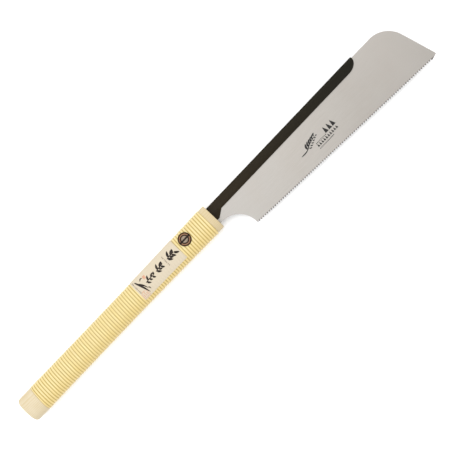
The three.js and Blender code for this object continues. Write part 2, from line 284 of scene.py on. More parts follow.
def bevel(piece, wanted, width, steps):
    """Rounds the edges for which wanted(end, other_end), in saw millimetres, is true."""
    bm = bmesh.new()
    bm.from_mesh(piece.data)
    edges = []
    for edge in bm.edges:
        a, b = ((np.array(v.co) - ORIGIN) / MM for v in edge.verts)
        if wanted(a, b):
            edges.append(edge)
    bmesh.ops.bevel(
        bm, geom=edges, offset=width * MM, segments=steps, profile=0.5, affect="EDGES", clamp_overlap=True,
    )
    bm.to_mesh(piece.data)
    bm.free()


def finish_piece(piece, body, nodes, material, crease=32):
    piece.data.materials.clear()
    piece.data.materials.append(material)
    piece.data.shade_smooth()
    piece.data.set_sharp_from_angle(angle=math.radians(crease))
    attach(piece, body)
    if nodes:
        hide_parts(*nodes)


# ------------------------------------------------------------------ handle surface


def crown_half_width(x):
    """Half the handle's width at x, measured over the crowns of the cane."""
    x = np.asarray(x, float)
    front = WAIST_HALF_WIDTH + WAIST_FRONT_GAIN * ((x - WAIST_X) / (-COLLAR["length"] - WAIST_X)) ** 2
    rear_span = HANDLE_LENGTH - BUTT["length"] + WAIST_X
    rear = WAIST_HALF_WIDTH + WAIST_REAR_GAIN * ((x - WAIST_X) / rear_span) ** 2
    return np.where(x > WAIST_X, front, rear)


def oval(x, angle, half_width, half_thickness):
    """Points of the handle's oval section; the angle runs from +Y towards +Z."""
    x, angle = np.broadcast_arrays(np.asarray(x, float), np.asarray(angle, float))
    centre_y = AXIS_Y_FRONT + (AXIS_Y_BUTT - AXIS_Y_FRONT) * -x / HANDLE_LENGTH
    across = np.abs(np.cos(angle) / half_width) ** ROUNDNESS
    through = np.abs(np.sin(angle) / half_thickness) ** ROUNDNESS
    reach = (across + through) ** (-1 / ROUNDNESS)
    return np.stack((x, centre_y + reach * np.cos(angle), reach * np.sin(angle)), axis=-1)


def on_cane(x, angle, height):
    """A point this far outside the crowns of the cane."""
    half = crown_half_width(x)
    return oval(x, angle, half + height, half * HALF_THICKNESS_SHARE + height)


def cane_rear(angle):
    """Where the last turn of the cane ends against the butt."""
    return CANE_REAR_X + CANE_REAR_SLANT * (1 + np.cos(angle))


def cane_edge(turn):
    """The front edge of the cane after this many turns. Turn 0 is in the middle of the screw side."""
    whole = -CANE_REAR_X - COLLAR["length"]
    bend = whole - CANE_FIRST_PITCH * CANE_TURNS
    return -COLLAR["length"] - CANE_FIRST_PITCH * turn - bend * (turn / CANE_TURNS) ** 2


# ------------------------------------------------------------------ pieces


def along_teeth(along, height):
    """A point on the tooth line, a distance along it from the heel and a height above the tips."""
    x, y = TOOTH_LINE_START
    c, s = math.cos(TOOTH_LINE_FALL), -math.sin(TOOTH_LINE_FALL)
    return (x + along * c - height * s, y + along * s + height * c)


def arc(centre_x, centre_y, radius_x, radius_y, start, end, steps):
    angles = np.linspace(start, end, steps + 1)
    return [(centre_x + radius_x * math.cos(a), centre_y + radius_y * math.sin(a)) for a in angles]


def blade():
    """The sheet with its teeth: each is bent to one side and filed with a bevel on the other."""
    points, faces = [], []

    def corner(x, y, z):
        points.append((x, y, z))
        return len(points) - 1

    def both(x, y):
        return {1: corner(x, y, BLADE_HALF), -1: corner(x, y, -BLADE_HALF)}

    roots = [both(*along_teeth(i * TOOTH_PITCH, TOOTH_DEPTH)) for i in range(TOOTH_COUNT + 1)]
    root_lines = {1: [], -1: []}
    rise = 0.62
    for i in range(TOOTH_COUNT):
        side = 1 if i % 2 else -1
        here, there = roots[i], roots[i + 1]
        start, tip = i * TOOTH_PITCH, (i + TOOTH_TIP_SHARE) * TOOTH_PITCH
        end = start + TOOTH_PITCH
        bent = side * TOOTH_SET
        outer = corner(*along_teeth(tip, 0), side * BLADE_HALF + bent)
        inner = corner(*along_teeth(tip + 0.12, rise), -side * BLADE_HALF + bent * (1 - rise / TOOTH_DEPTH))
        near = corner(*along_teeth(start + TOOTH_BEVEL, TOOTH_DEPTH), -side * BLADE_HALF)
        far = corner(*along_teeth(end - TOOTH_BEVEL, TOOTH_DEPTH), -side * BLADE_HALF)
        faces.append((here[side], outer, there[side]))
        faces.append((near, far, inner))
        faces.append((here[side], near, inner, outer))
        faces.append((here[side], here[-side], near))
        faces.append((outer, inner, far, there[side]))
        faces.append((there[side], far, there[-side]))
        root_lines[side] += [here[side]]
        root_lines[-side] += [here[-side], near, far]
    for side in (1, -1):
        root_lines[side].append(roots[-1][side])

    toe_x, toe_y, toe_radius = TOE_CURVE
    lean = math.tan(TOE_LEAN)
    edge_start = (toe_x + toe_radius * math.cos(TOE_LEAN), toe_y + toe_radius * math.sin(TOE_LEAN))
    tip_x = edge_start[0] + lean * (edge_start[1] - TOE_TIP_Y)
    rest = [along_teeth((TOOTH_COUNT + TOOTH_TIP_SHARE) * TOOTH_PITCH, 0)]
    rest += [(tip_x - 0.4, TOE_TIP_Y - TOE_TIP_CHAMFER * 0.8), (tip_x, TOE_TIP_Y)]
    rest += arc(toe_x, toe_y, toe_radius, toe_radius, TOE_LEAN, math.pi / 2, 48)
    rest += [(BLADE_TAIL_X, BLADE_BACK_Y), (BLADE_TAIL_X, HEEL_TOP_Y)]
    heel_x, heel_y, heel_radius = HEEL_CURVE
    rest += arc(heel_x, heel_y, heel_radius, heel_radius, math.pi / 2, math.radians(-2), 40)
    rest += [HEEL_CORNER]
    rims = [both(x, y) for x, y in rest]
    chain = [roots[-1]] + rims + [roots[0]]
    for a, b in zip(chain, chain[1:]):
        faces.append((a[1], b[1], b[-1], a[-1]))
    for side in (1, -1):
        faces.append(tuple(root_lines[side] + [rim[side] for rim in rims]))
    return make_piece("saw_blade", points, faces)


def folded_back():
    """One folded sheet: a cheek on each side of the blade, and a forked tang."""
    nose_y = BACK_LOWER_Y + BACK_NOSE["radius_y"]
    outline = [(TANG_END_X, FLARE["lower_y"]), (FLARE["end_x"], FLARE["lower_y"])]
    outline += [(FLARE["start_x"], BACK_LOWER_Y)]
    nose = (BACK_NOSE["centre_x"], nose_y, BACK_NOSE["radius_x"], BACK_NOSE["radius_y"])
    outline += arc(*nose, -math.pi / 2, 0, 28)
    outline += [(BACK_NOSE["corner_x"], BACK_TOP_Y), (TANG_END_X, BACK_TOP_Y)]
    piece = plate("folded_back", outline, BACK_HALF)

    def fold(a, b):
        return min(a[1], b[1]) > BACK_TOP_Y - 0.01 and abs(a[2] - b[2]) < 0.1

    def rim(a, b):
        level = abs(a[2] - b[2]) < 0.1 and abs(abs(a[2]) - BACK_HALF) < 0.01
        return level and max(a[1], b[1]) < BACK_TOP_Y - 0.01

    bevel(piece, fold, 1.1, 6)
    bevel(piece, rim, 0.18, 2)
    grip = BLADE_HALF + FIT
    far = BACK_NOSE["corner_x"] + 20
    cut(piece, block(TANG_END_X - 20, far, FLARE["lower_y"] - 20, BLADE_BACK_Y + FIT, -grip, grip))
    for x in RIVET["places"]:
        cut(piece, rod((x, RIVET["y"]), RIVET["radius"] + FIT, -5, 5))
    radius = TANG_SLOT_RADIUS
    cut(piece, block(TANG_END_X - 5, CLAMP[0], CLAMP[1] - radius, CLAMP[1] + radius, -5, 5))
    cut(piece, rod(CLAMP, radius, -5, 5))
    return piece


def core(side):
    """Half of the wooden core: butt, seat for the cane and collar. Side is 1 under the screw head."""
    columns = 96
    even = np.linspace(0, 1, columns)
    sweep = even - 0.48 * np.sin(TURN * even) / TURN  # closer together towards the seams
    angle = np.pi * sweep * side
    groove = 1 - SEAM_DEPTH_SHARE * np.exp(-((np.sin(angle) / SEAM_SPREAD) ** 2))
    rings = []

    def ring(x, half_width, half_thickness):
        made = oval(x, angle, half_width * groove, half_thickness * groove)
        made[:, 2] = np.maximum(made[:, 2] * side, SEAM_HALF) * side
        rings.append(made)

    def edge(end_x, half_width, radius, towards, steps):
        found = []
        for s in range(steps + 1):
            lean = math.pi / 2 * s / steps
            x = end_x - towards * radius * (1 - math.sin(lean))
            found.append((x, half_width - radius * (1 - math.cos(lean))))
        return found

    butt = edge(-HANDLE_LENGTH, BUTT["half_width"], BUTT["edge"], -1, 14)[::-1]
    flat = butt[0][1]
    for share in (0.25, 0.5, 0.75):
        ring(-HANDLE_LENGTH, flat * share, flat * share * HALF_THICKNESS_SHARE)
    for x, half in butt:
        ring(x, half, half * HALF_THICKNESS_SHARE)
    step = cane_rear(angle)
    lip = BUTT["half_width"]
    for reach, drop in ((-4.0, 0), (-0.5, 0), (-0.15, 0.04), (0, 0.18)):
        ring(step + reach, lip - drop, lip * HALF_THICKNESS_SHARE - drop)
    seat_start = crown_half_width(CANE_REAR_X)
    ring(step + 0.02, seat_start - CANE_THICKNESS, seat_start * HALF_THICKNESS_SHARE - CANE_THICKNESS)
    for x in np.linspace(-248, -COLLAR["length"], 60):
        crown = crown_half_width(x)
        ring(x, crown - CANE_THICKNESS, crown * HALF_THICKNESS_SHARE - CANE_THICKNESS)
    half = COLLAR["half_width"]
    for reach, drop in ((0.02, 0.16), (0.14, 0.03), (0.4, 0)):
        ring(-COLLAR["length"] + reach, half - drop, half * HALF_THICKNESS_SHARE - drop)
    front = edge(0, half, COLLAR["edge"], 1, 8)
    for x, wide in front:
        ring(x, wide, wide * HALF_THICKNESS_SHARE)
    flat = front[-1][1]
    for share in (0.75, 0.5, 0.25):
        ring(0, flat * share, flat * share * HALF_THICKNESS_SHARE)
    rows = len(rings)
    points = np.concatenate(rings)
    faces = grid_faces(rows, columns)
    for r in range(rows - 1):
        faces.append((r * columns, (r + 1) * columns, (r + 2) * columns - 1, (r + 1) * columns - 1))
    faces += [tuple(range(columns)), tuple(range((rows - 1) * columns, rows * columns))]
    piece = make_piece(f"core_{'screw' if side > 0 else 'nut'}_side", points, faces)
    depth = CHANNEL["half_gap"] + CHANNEL["wall"] + FIT
    lower, upper = CHANNEL["lower_y"] - FIT, CHANNEL["upper_y"] + FIT
    cut(piece, block(CHANNEL["end_x"] - FIT, 20, lower, upper, -depth, depth))
    seat = CUP["floor_z"] - CUP["floor"] - FIT
    low, high = sorted((side * seat, side * 30))
    cut(piece, rod(CLAMP, CUP["radius"] + FIT, low, high))
    if side > 0:
        cut(piece, rod(CLAMP, SHANK_HOLE, -1, 30))
    else:
        room = NUT_SQUARE_HALF + FIT
        cut(piece, block(CLAMP[0] - room, CLAMP[0] + room, CLAMP[1] - room, CLAMP[1] + room, -30, 1))
    return piece


def cane(place):
    """A length of the rattan strip, wound round the core: 27 turns of one long helix."""
    share = CANE_TURNS // len(CANE_LENGTHS)
    first, last = place * share - 0.5, (place + 1) * share - 0.5
    steps = 84 * share
    turn = np.linspace(first, last, steps + 1)
    angle = math.pi / 2 + TURN * turn
    front = np.minimum(cane_edge(turn) - CANE_GAP / 2, -COLLAR["length"] - 0.05)
    rear = np.maximum(cane_edge(turn + 1) + CANE_GAP / 2, cane_rear(angle) + 0.05)
    width = np.maximum(front - rear, 0.3)
    across = np.array((0.0, 0.0, 0.03, 0.1, 0.22, 0.36, 0.5, 0.64, 0.78, 0.9, 0.97, 1.0, 1.0))
    dome = 1 - np.abs(2 * across - 1) ** 2.6
    height = -CANE_EDGE_DROP * (1 - dome)
    height[0] = height[-1] = -CANE_THICKNESS + 0.02
    loose = 0.06 * np.sin(turn * 2.3 + 1) + 0.03 * np.sin(turn * 5.1)
    x = front[:, None] - width[:, None] * across[None, :]
    lift = height[None, :] + np.where(height > -0.9, 1, 0)[None, :] * (loose[:, None] - 0.07)
    points = on_cane(x, angle[:, None], lift)
    columns = len(across)
    faces = grid_faces(steps + 1, columns, around=True)
    faces += [tuple(range(columns))[::-1], tuple(range(steps * columns, (steps + 1) * columns))]
    piece = make_piece(f"cane_strip_{CANE_LENGTHS[place]}", points.reshape(-1, 3), faces)
    layer = piece.data.uv_layers.new(name="strip")
    along = np.repeat(turn * STRIP_GIRTH, columns)
    sideways = np.tile(across, steps + 1) * STRIP_WIDTH
    corners = np.empty(len(piece.data.loops), int)
    piece.data.loops.foreach_get("vertex_index", corners)
    layer.data.foreach_set("uv", np.stack((along[corners], sideways[corners]), axis=-1).ravel() * MM)
    if place == 0:
        cut(piece, rod(CLAMP, CUP["radius"] + 0.06, 0, 30))
        cut(piece, rod(CLAMP, CUP["radius"] + 0.06, -30, 0))
    return piece


def label():
    """The paper label, pasted over the turns of the cane."""
    thin = LABEL_HALF_WIDTH * HALF_THICKNESS_SHARE
    top = oval(LABEL["front_x"], np.linspace(0, TURN, 721), LABEL_HALF_WIDTH, thin)
    degrees = np.arange(721) * 0.5
    wanted = (top[:, 1] > LABEL["lower_y"]) & (top[:, 2] > LABEL["lower_z"])
    upper = degrees[wanted & (degrees <= 180)].max()
    behind = degrees[wanted & (degrees > 180)]
    lower = behind.min() - 360 if len(behind) else 0
    columns, rows = 96, 240
    angle = np.radians(np.linspace(lower, upper, columns))
    x = np.linspace(LABEL["rear_x"], LABEL["front_x"], rows)
    grid_x, grid_angle = np.meshgrid(x, angle, indexing="ij")
    face = label_height(grid_x, grid_angle)
    sheets = [on_cane(grid_x, grid_angle, face - drop) for drop in (0, LABEL["thickness"])]
    points = np.concatenate([sheet.reshape(-1, 3) for sheet in sheets])
    size = rows * columns
    faces = grid_faces(rows, columns) + [f[::-1] for f in grid_faces(rows, columns, size)]
    rim = [r * columns for r in range(rows)] + [(rows - 1) * columns + c for c in range(1, columns)]
    rim += [r * columns + columns - 1 for r in range(rows - 2, -1, -1)] + list(range(columns - 2, 0, -1))
    faces += [(a, b, b + size, a + size) for a, b in zip(rim, rim[1:] + rim[:1])]
    return make_piece("pasted_label", points, faces)


def label_height(x, angle):
    """The label's face above the crowns: it sinks a little between the turns beneath it."""
    turn = (-COLLAR["length"] - x) / CANE_FIRST_PITCH
    phase = turn + (math.pi / 2 - angle) / TURN
    return LABEL["thickness"] + 0.02 - 0.05 * (0.5 + 0.5 * np.cos(TURN * phase))


def label_angle(x, y):
    """The angle round the handle, on the screw side, at which the label lies at this height y."""
    half = crown_half_width(x)
    centre_y = AXIS_Y_FRONT + (AXIS_Y_BUTT - AXIS_Y_FRONT) * -x / HANDLE_LENGTH
    angle = np.linspace(0, math.pi, 400)
    share = oval(0.0, angle, 1.0, HALF_THICKNESS_SHARE)[:, 1] - AXIS_Y_FRONT
    return np.interp((y - centre_y) / half, share[::-1], angle[::-1])


def on_label(flat, lift):
    """Flat label points (x, y), laid on the label's face and lifted by this much."""
    x, y = flat[..., 0], flat[..., 1]
    angle = label_angle(x, y)
    return on_cane(x, angle, label_height(x, angle) + lift)


def on_blade(flat, lift):
    return np.concatenate((flat, np.full(flat.shape[:-1] + (1,), BLADE_HALF + lift)), axis=-1)


def shares(size, least=3):
    """Even shares from 0 to 1, close enough together for a print of this size to follow a curved face."""
    return np.linspace(0, 1, max(least, int(size / PRINT_STEP) + 2))


def brush(x, y, length, degrees, width, bow=0.0):
    """A brush stroke as a flat grid: pointed at both ends, fullest near its start, and bowed."""
    t = shares(length, 19)[:, None]
    side = shares(width, 5)[None, :] - 0.5
    body = width * np.sin(np.pi * t**0.75) ** 0.7 + 0.08
    along = t * length + 0 * side
    across = side * body + bow * np.sin(np.pi * t)
    turn = math.radians(degrees)
    return np.stack((
        x + along * math.cos(turn) - across * math.sin(turn),
        y + along * math.sin(turn) + across * math.cos(turn),
    ), axis=-1)


def bar(x, y, length, height, lean=0.0):
    """An upright mark as a flat grid, leaning by this much at its top."""
    t = shares(length)[:, None]
    up = shares(height)[None, :]
    return np.stack((x + t * length + up * lean, y + up * height + 0 * t), axis=-1)


def printed(name, grids, surface):
    """Flat grids printed on a surface, as one thin piece. Where two overlap, the later one is on top."""
    points, faces = [], []
    for i, grid in enumerate(grids):
        rows, columns = grid.shape[:2]
        size = rows * columns
        first = sum(len(p) for p in points)
        lifts = (PRINT_THICKNESS + PRINT_RISE * i, -PRINT_THICKNESS / 2)
        points += [surface(grid, lift).reshape(-1, 3) for lift in lifts]
        faces += grid_faces(rows, columns, first)
        faces += [face[::-1] for face in grid_faces(rows, columns, first + size)]
        rim = [c for c in range(columns)] + [r * columns + columns - 1 for r in range(1, rows)]
        rim += [size - 2 - c for c in range(columns - 1)] + [r * columns for r in range(rows - 2, 0, -1)]
        for a, b in zip(rim, rim[1:] + rim[:1]):
            faces.append((first + a, first + a + size, first + b + size, first + b))
    return make_piece(name, np.concatenate(points), faces)


def sprig(x, y, length, degrees, leaves, size):
    """A twig with leaves, painted with a brush."""
    strokes = [brush(x, y, length, degrees, 0.9, 0.4)]
    turn = math.radians(degrees)
    for i in range(leaves):
        share = (i + 0.6) / leaves
        side = 1 if i % 2 else -1
        at_x = x + share * length * math.cos(turn)
        at_y = y + share * length * math.sin(turn)
        reach = size * (1.0 - 0.25 * share + 0.2 * math.sin(i * 2.4))
        lean = side * (48 + 14 * math.sin(i * 1.7))
        strokes.append(brush(at_x, at_y, reach, degrees + lean, size * 0.4, 0.3 * side))
    return strokes


def label_ink():
    """Three painted sprigs down the label, and loose brush strokes behind them."""
    strokes = sprig(-63.0, 4.2, 10.5, 0, 7, 6.2)
    strokes += sprig(-79.2, 3.4, 9.5, 4, 6, 5.6)
    strokes += sprig(-94.0, 3.0, 12.0, 0, 6, 5.0)
    strokes += [brush(-102.6, 11.6, 18.8, -73, 2.0, 0.5), brush(-101.4, 8.6, 12.0, -62, 1.4, 0.8)]
    strokes += [brush(-97.6, 8.2, 4.6, 8, 1.1, 1.2), brush(-95.4, -1.2, 3.4, -70, 1.0, 0.4)]
    return printed("label_ink", strokes, on_label)


def label_fine_ink():
    """Thin pale rows of dashes on the label."""
    dashes = []
    for column_x, top, count in ((-105.4, 11.4, 8), (-65.8, 8.6, 7)):
        for i in range(count):
            tall = 1.1 + 0.35 * math.sin(i * 2.1)
            dashes.append(bar(column_x, top - i * 1.75, 1.2, tall, 0.25))
    return printed("label_fine_ink", dashes, on_label)


def label_seal():
    """A plain red stamp: an arched frame with three bars in it, and a small square."""
    marks = []
    for i, tall in enumerate((3.2, 4.4, 3.2)):
        marks.append(bar(-104.6 + 2.0 * i, -6.4, 0.7, tall))
    left, low, line = -106.0, -7.8, 0.5
    marks.append(bar(left, low, 7.4, line))
    marks += [bar(x, low, line, 5.6) for x in (left, left + 6.9)]
    marks.append(brush(-106.0, -2.5, 7.4, 0, 0.7, 1.4))
    marks.append(bar(-93.0, 6.6, 2.9, 3.6, 0.2))
    return printed("label_seal", marks, on_label)


def blade_print():
    """Plain printed marks: a leafy spray, big and small rows of saw teeth, and thin dashed lines."""
    marks = [brush(103.7, -23.2, 13.0, 8, 1.1, -0.9), brush(113.0, -22.6, 17.0, 16, 0.9, 1.2)]
    for i in range(6):
        marks.append(brush(113.4 + 2.7 * i, -22.2 + 1.0 * i, 6.4 - 0.5 * i, 68 - 5 * i, 2.2 - 0.1 * i, 0.6))
        marks.append(brush(115.4 + 2.7 * i, -22.4 + 1.0 * i, 3.4 - 0.3 * i, -24, 1.2, -0.4))
    for i in range(3):
        marks.append(tooth_mark((138.0 + 5.0 * i, -24.0), 4.4, 6.4))
    for i in range(9):
        marks.append(bar(123.4 + 1.6 * i, -25.2, 0.7, 1.3, 0.3))
    for i in range(10):
        marks.append(tooth_mark((123.0 + 2.9 * i, -28.6), 2.3, 3.0))
    for i in range(13):
        marks.append(bar(123.0 + 1.55 * i, -31.2, 0.9, 1.0, 0.2))
    return printed("blade_print", marks, on_blade)


def tooth_mark(start, length, height):
    """A saw tooth as a flat grid, leaning like the real ones."""
    t = shares(0)[:, None]
    up = shares(0)[None, :]
    squeeze = 1 - 0.86 * up
    x = start[0] + length * (TOOTH_TIP_SHARE + (t - TOOTH_TIP_SHARE) * squeeze)
    return np.stack((x, start[1] + height * up + 0 * t), axis=-1)


def cup(side, hole):
    """The pressed cup that a head sits in. Side is 1 for the screw's cup and -1 for the nut's."""
    inner = CUP["radius"] - CUP["wall"]
    under = CUP["floor_z"] - CUP["floor"]
    profile = [(hole, under), (CUP["radius"], under), (CUP["radius"], CUP["rim_z"])]
    profile += [(inner, CUP["rim_z"]), (inner, CUP["floor_z"]), (hole, CUP["floor_z"])]
    shape = [(radius, side * z) for radius, z in rounded(profile, 0.3)]
    return turned(f"{'screw' if side > 0 else 'nut'}_seat_cup", shape)


def clamp_screw():
    """The screw: a raised ring and a domed middle on its head, a coin slot, and its thread."""
    profile = [(0, 1), (2.3, 1), (2.3, HEAD_LOW_Z), (HEAD_RADIUS, HEAD_LOW_Z)]
    profile += [(HEAD_RADIUS, 11.7), (5.95, 12.1), (5.6, 12.2), (4.75, 12.2), (4.6, 11.5)]
    profile += [(3.6, 11.5), (3.4, 12.2), (1.8, 12.33), (0, 12.35)]
    piece = turned("coin_slot_screw", rounded(profile, 0.12))
    cut(piece, threaded_rod(SCREW_THREAD, THREAD_DEPTH, -8.6, 2.5), "UNION")
    x, y = CLAMP
    cut(piece, block(x - 9, x + 9, y - COIN_SLOT_HALF, y + COIN_SLOT_HALF, COIN_SLOT_FLOOR_Z, 20))
    return piece


def washer():
    hole, radius, low, high = WASHER["hole"], WASHER["radius"], WASHER["low_z"], WASHER["high_z"]
    profile = [(hole, low), (radius, low), (radius, high), (hole, high)]
    return turned("head_washer", rounded(profile, 0.1))


def clamp_nut():
    """The nut: a low domed head, a square neck that stops it from turning, and a threaded sleeve."""
    low = -WASHER["low_z"]
    head = [(0, -11.9), (3.0, -11.82), (5.6, -11.68), (HEAD_RADIUS, -11.3), (HEAD_RADIUS, low), (0, low)]
    piece = turned("sleeve_nut", rounded(head, 0.2))
    x, y = CLAMP
    half = NUT_SQUARE_HALF
    cut(piece, block(x - half, x + half, y - half, y + half, -HEAD_LOW_Z, -5.4), "UNION")
    cut(piece, rod(CLAMP, half, -5.9, -3.0), "UNION")
    cut(piece, threaded_rod(NUT_THREAD, THREAD_DEPTH, -10.2, -1.5))
    return piece


def rivet(number):
    x = RIVET["places"][number]
    end, radius = BACK_HALF, RIVET["radius"]
    profile = [(0, -end), (radius, -end), (radius, end), (0, end)]
    return turned(f"tang_pin_{number + 1}", rounded(profile, 0.12), (x, RIVET["y"]), 48)


def socket():
    """The steel channel that lines the slot for the tang."""
    gap, wall, lower = CHANNEL["half_gap"], CHANNEL["wall"], CHANNEL["lower_y"]
    outer = gap + wall
    piece = block(CHANNEL["end_x"], CHANNEL["front_x"], lower, CHANNEL["upper_y"], -outer, outer)
    piece.name = "tang_channel"
    bevel(piece, lambda a, b: max(a[1], b[1]) < lower + 0.1, wall, 4)
    cut(piece, block(-90, 40, lower + wall, 40, -gap, gap))
    cut(piece, rod(CLAMP, SHANK_HOLE, -20, 20))
    return piece


# ------------------------------------------------------------------ materials

STUDIO_GAIN = 1.34  # how much brighter the studio shows a surface than its own colour
PITH = (34.0, 26.0)  # how far the middle of the tree lies from the handle's axis, along Y and Z
RING_WIDTH = 1.4


class Finish:
    """A material being made of nodes. Inputs are numbers, colours, or the outputs of other nodes."""

    def __init__(self, name, **shader):
        self.material = bpy.data.materials.new(name)
        self.material.use_nodes = True
        self.tree = self.material.node_tree
        self.shader = self.tree.nodes["Principled BSDF"]
        self.fill(self.shader, shader)

    def fill(self, node, inputs):
        for name, value in inputs.items():
            socket_in = node.inputs[name] if isinstance(name, int) else node.inputs[name.replace("_", " ")]
            if isinstance(value, bpy.types.NodeSocket):
                self.tree.links.new(value, socket_in)
            elif isinstance(value, tuple) and len(value) == 3 and socket_in.type == "RGBA":
                socket_in.default_value = (*value, 1)
            else:
                socket_in.default_value = value

    def node(self, kind, settings=None, **inputs):
        made = self.tree.nodes.new("ShaderNode" + kind)
        for name, value in (settings or {}).items():
            setattr(made, name, value)
        self.fill(made, inputs)
        return made

    def place(self, scale=(1, 1, 1), turn=(0, 0, 0), shift=(0, 0, 0)):
        """Object coordinates in saw millimetres, then turned and scaled."""
        where = self.node("TexCoord").outputs["Object"]
        moved = self.node("Mapping", Vector=where, Location=tuple(-ORIGIN / MM), Scale=(1 / MM,) * 3)
        return self.node(
            "Mapping", Vector=moved.outputs[0], Location=shift, Rotation=turn, Scale=scale,
        ).outputs[0]

    def noise(self, where, scale, detail=3.0, roughness=0.5):
        made = self.node("TexNoise", Vector=where, Scale=scale, Detail=detail, Roughness=roughness)
        return made.outputs["Fac"]

    def ramp(self, value, *stops):
        """A colour for each place along the value: stops are (place, colour)."""
        made = self.node("ValToRGB", Fac=value)
        elements = made.color_ramp.elements
        while len(elements) < len(stops):
            elements.new(0.5)
        for element, (place, colour) in zip(elements, stops):
            element.position = place
            element.color = (*colour, 1)
        return made.outputs["Color"]

    def span(self, value, low, high, out_low=0.0, out_high=1.0):
        made = self.node("MapRange")
        self.fill(made, {0: value, 1: low, 2: high, 3: out_low, 4: out_high})
        return made.outputs[0]

    def maths(self, operation, a, b=0.0):
        made = self.node("Math", {"operation": operation})
        self.fill(made, {0: a, 1: b})
        return made.outputs[0]

    def mix(self, factor, a, b, blend="MIX"):
        made = self.node("Mix", {"data_type": "RGBA", "blend_type": blend})
        self.fill(made, {0: factor, 6: a, 7: b})
        return made.outputs[2]

    def bump(self, height, distance, strength=1.0):
        made = self.node("Bump", Height=height, Distance=distance * MM, Strength=strength)
        self.fill(self.shader, {"Normal": made.outputs[0]})


def srgb(red, green, blue):
    """A colour given as it looks under the bright studio light, from 0 to 255, as the share it reflects."""
    values = [v / 255 for v in (red, green, blue)]
    shown = [v / 12.92 if v <= 0.04045 else ((v + 0.055) / 1.055) ** 2.4 for v in values]
    return tuple(v / STUDIO_GAIN for v in shown)


def blade_steel():
    """Finely ground steel that shows brighter at the heel, where it reflects the key light; its colour
    carries painted shade towards the heel and painted light towards the toe, which tempers that; the
    hardened tips of the teeth are dark.
    """
    finish = Finish("satin_saw_steel", Metallic=0.85)
    where = finish.place()
    grind = finish.noise(finish.place(scale=(0.08, 9, 1), turn=(0, 0, math.radians(-3))), 1.0, 5)
    cloud = finish.noise(where, 0.03, 2)
    base = finish.ramp(grind, (0.3, srgb(163, 158, 152)), (0.7, srgb(177, 173, 167)))
    along = finish.node("SeparateXYZ", Vector=where).outputs[0]
    # Painted shade: the colour turns greyer towards the heel, where the key light's reflection is
    # brightest.
    base = finish.mix(finish.span(along, 110, 0, 0.0, 0.4), base, srgb(160, 159, 157))
    # Painted light: the colour turns lighter and warmer towards the toe, where less of the key light is
    # reflected.
    base = finish.mix(finish.span(along, 180, 240, 0.0, 0.8), base, srgb(178, 173, 167))
    base = finish.mix(finish.span(cloud, 0.35, 0.7, 0.0, 0.12), base, srgb(160, 150, 140))
    line_x, line_y = TOOTH_LINE_START
    down = finish.place(turn=(0, 0, TOOTH_LINE_FALL))
    turned_y = line_y * math.cos(TOOTH_LINE_FALL) + line_x * math.sin(TOOTH_LINE_FALL)
    above = finish.maths("SUBTRACT", finish.node("SeparateXYZ", Vector=down).outputs[1], turned_y)
    hardened = finish.span(above, 1.75, 0.9)
    base = finish.mix(finish.maths("MULTIPLY", hardened, 0.92), base, srgb(52, 46, 44))
    finish.fill(finish.shader, {"Base Color": base})
    finish.fill(finish.shader, {"Roughness": finish.span(grind, 0.3, 0.7, 0.3, 0.42)})
    finish.bump(grind, 0.01, 0.5)
    return finish.material


def blacked_steel():
    """Black oxide, browner towards the handle, with a fine rolled grain."""
    finish = Finish("blacked_steel", Specular_IOR_Level=0.11)
    where = finish.place()
    fine = finish.noise(finish.place(scale=(0.25, 1.5, 1)), 1.4, 5)
    brown = finish.ramp(fine, (0.3, srgb(31, 22, 8)), (0.7, srgb(43, 34, 15)))
    black = finish.ramp(fine, (0.3, srgb(20, 18, 11)), (0.7, srgb(32, 30, 21)))
    along = finish.node("SeparateXYZ", Vector=where).outputs[0]
    finish.fill(finish.shader, {"Base Color": finish.mix(finish.span(along, 20, 200), brown, black)})
    finish.fill(finish.shader, {"Roughness": finish.span(finish.noise(where, 0.4), 0.3, 0.7, 0.36, 0.5)})
    finish.bump(finish.noise(where, 3.0, 4), 0.02, 0.4)
    return finish.material


def plain_steel():
    finish = Finish("zinc_plated_steel", Metallic=1.0)
    where = finish.place()
    cloud = finish.noise(where, 0.8, 4)
    base = finish.ramp(cloud, (0.3, srgb(168, 170, 170)), (0.7, srgb(196, 196, 194)))
    finish.fill(finish.shader, {"Base Color": base})
    finish.fill(finish.shader, {"Roughness": finish.span(cloud, 0.3, 0.7, 0.25, 0.4)})
    finish.bump(finish.noise(where, 4.0, 3), 0.01, 0.4)
    return finish.material


def core_wood():
    """Straight-grained softwood: growth rings about a far pith, which show as arcs on the end grain."""
    finish = Finish("pale_softwood", Specular_IOR_Level=0.3)
    bend = finish.noise(finish.place(scale=(0.012, 0.05, 0.05)), 1.0, 0)
    flat = finish.place(scale=(0, 1, 1), shift=(0, *PITH))
    distance = finish.node("VectorMath", {"operation": "LENGTH"})
    finish.fill(distance, {0: flat})
    wavy = finish.maths("ADD", distance.outputs["Value"], finish.maths("MULTIPLY", bend, 6.0))
    ring = finish.maths("FRACT", finish.maths("DIVIDE", wavy, RING_WIDTH))
    base = finish.ramp(
        ring,
        (0.0, srgb(217, 205, 176)),
        (0.55, srgb(213, 198, 166)),
        (0.86, srgb(206, 188, 151)),
        (0.94, srgb(203, 183, 145)),
        (1.0, srgb(217, 205, 176)),
    )
    fibres = finish.noise(finish.place(scale=(0.1, 5, 5)), 1.0, 4)
    base = finish.mix(finish.span(fibres, 0.35, 0.75, 0.0, 0.3), base, srgb(200, 178, 138))
    patch = finish.noise(finish.place(), 0.12, 3)
    base = finish.mix(finish.span(patch, 0.4, 0.7, 0.0, 0.25), base, srgb(222, 211, 186))
    along = finish.node("SeparateXYZ", Vector=finish.place()).outputs[0]
    base = finish.mix(finish.span(along, -12, -6, 0.0, 0.4), base, srgb(200, 176, 122))
    finish.fill(finish.shader, {"Base Color": base})
    finish.fill(finish.shader, {"Roughness": finish.span(fibres, 0.3, 0.7, 0.5, 0.68)})
    finish.bump(fibres, 0.04, 0.5)
    return finish.material


